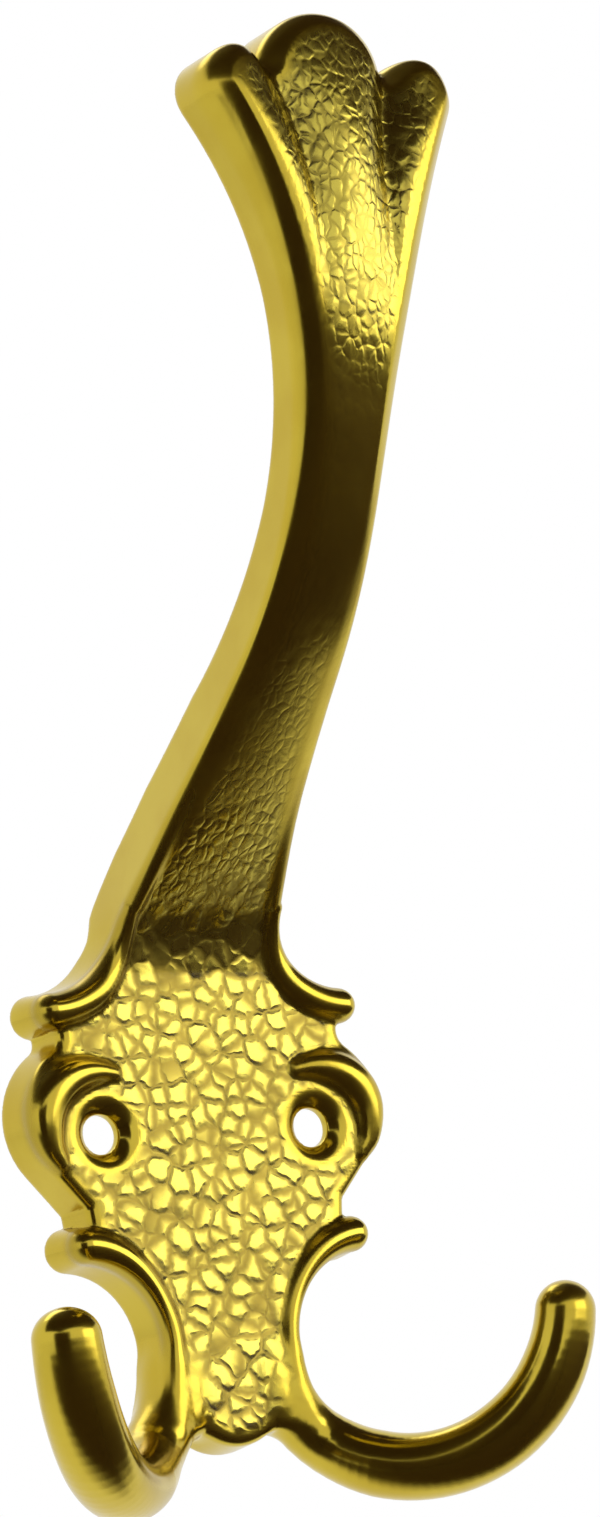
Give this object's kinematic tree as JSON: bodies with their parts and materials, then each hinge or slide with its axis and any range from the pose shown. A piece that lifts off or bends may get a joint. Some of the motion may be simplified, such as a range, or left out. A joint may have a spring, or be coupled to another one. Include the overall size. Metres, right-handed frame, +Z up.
{
  "type": "double robe hook",
  "caption": "Cast wall hook: scrolled hammered back plate, one long upper arm ending in a three-lobed fan, and a pair of round lower hooks.",
  "frame": {"origin": "on the wall plane, on the plane of symmetry, midway between the two screw holes", "axes": "+Z up, the wall is the plane Y = 0 and the room is on the -Y side, +X to the right of someone who faces the wall"},
  "size_m": [0.068, 0.0534, 0.1507],
  "materials": {
    "gold_finish": "polished gold-coloured plating on a hammered casting"
  },
  "bodies": {
    "root": {"robe_hook": "gold_finish"}
  },
  "joints": []
}
